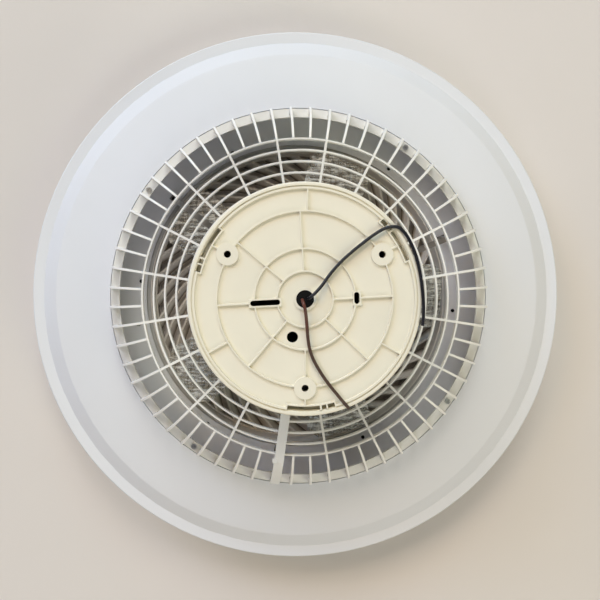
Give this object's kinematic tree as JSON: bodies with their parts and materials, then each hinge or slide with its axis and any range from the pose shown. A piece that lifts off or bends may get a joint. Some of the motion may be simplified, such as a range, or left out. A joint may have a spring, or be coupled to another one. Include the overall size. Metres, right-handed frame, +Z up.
{
  "type": "ceiling fan lamp",
  "caption": "Flush ceiling fan lamp: a caged fan with clear blades over a spiral outlet grille, in the middle of an opal ring lamp that twist-locks to a ribbed ceiling plate.",
  "frame": {"origin": "centre of the ceiling plate's ceiling face, on the pitch circle of its ceiling screws", "axes": "+Z up to the ceiling along the fan's axis; the picture looks down -Z, with +X to its right and +Y to its top"},
  "size_m": [0.5499, 0.55, 0.2094],
  "materials": {
    "plate_cream": "moulded satin",
    "grommet_black": "matte",
    "sleeve_blue": "satin insulation",
    "sleeve_brown": "satin insulation",
    "drum_cream": "moulded satin",
    "arm_black": "dark coated steel",
    "screw_zinc": "zinc plated",
    "cage_white": "moulded satin",
    "channel_white": "moulded satin",
    "lead_white": "satin insulation",
    "connector_white": "moulded",
    "pan_white": "powder coated",
    "tray_grey": "galvanised sheet",
    "gasket_black": "matte",
    "vane_grey": "moulded satin",
    "cap_white": "gloss",
    "board_white": "solder mask",
    "chip_yellow": "phosphor",
    "keeper_zinc": "pressed steel",
    "base_cast": "die cast",
    "bearing_steel": "ground",
    "stack_steel": "laminated",
    "winding_copper": "enamelled copper wire",
    "driver_white": "moulded",
    "board_green": "solder mask",
    "parts_black": "moulded",
    "pillar_brass": "turned",
    "receiver_white": "moulded",
    "terminal_grey": "moulded",
    "shaft_steel": "ground",
    "clip_black": "blackened spring steel",
    "bell_steel": "drawn",
    "magnet_grey": "coated",
    "hub_white": "moulded",
    "blade_clear": "clear gloss",
    "clamp_white": "moulded",
    "cover_opal": "opal"
  },
  "bodies": {
    "ceiling": {"mounting_plate": "plate_cream", "cable_grommet": "grommet_black", "neutral_wire": "sleeve_blue", "live_wire": "sleeve_brown"},
    "lamp": {"canopy_drum": "drum_cream", "support_spider": "arm_black", "collar_screws": "screw_zinc", "intake_grille": "cage_white", "cage_ribs": "cage_white", "cage_ledge": "cage_white", "wire_channel": "channel_white", "led_lead": "lead_white", "lead_connector": "connector_white", "grille_screws": "screw_zinc", "pan": "pan_white", "led_tray": "tray_grey", "arm_screws": "screw_zinc", "duct_ring": "gasket_black", "duct_screws": "screw_zinc", "outlet_duct": "vane_grey", "outlet_grille": "vane_grey", "centre_cap": "cap_white", "led_boards": "board_white", "led_chips": "chip_yellow", "board_screws": "screw_zinc", "cover_keepers": "keeper_zinc", "motor_base": "base_cast", "motor_screws": "screw_zinc", "bearing_upper": "bearing_steel", "bearing_lower": "bearing_steel", "motor_stator": "stack_steel", "stator_windings": "winding_copper", "led_driver": "driver_white", "driver_screws": "screw_zinc", "fan_controller": "board_green", "controller_parts": "parts_black", "controller_pillars": "pillar_brass", "signal_receiver": "receiver_white", "terminal_block": "terminal_grey"},
    "fan": {"motor_shaft": "shaft_steel", "shaft_circlip": "clip_black", "rotor_bell": "bell_steel", "rotor_magnets": "magnet_grey", "blade_hub": "hub_white", "fan_blade_1": "blade_clear", "fan_blade_2": "blade_clear", "fan_blade_3": "blade_clear", "fan_blade_4": "blade_clear", "fan_blade_5": "blade_clear", "blade_clamp": "clamp_white", "blade_screws": "screw_zinc"},
    "cover": {"diffuser": "cover_opal"}
  },
  "joints": [
    {"name": "mount_twist", "type": "hinge", "parent": "ceiling", "child": "lamp", "pos_m": [0, 0, -0.01], "axis": [0, 0, 1], "range_deg": [-27, 0]},
    {"name": "fan_spin", "type": "hinge", "parent": "lamp", "child": "fan", "pos_m": [0, 0, -0.12], "axis": [0, 0, 1], "continuous": true},
    {"name": "cover_twist", "type": "hinge", "parent": "lamp", "child": "cover", "pos_m": [0, 0, -0.16], "axis": [0, 0, 1], "range_deg": [0, 12]}
  ]
}
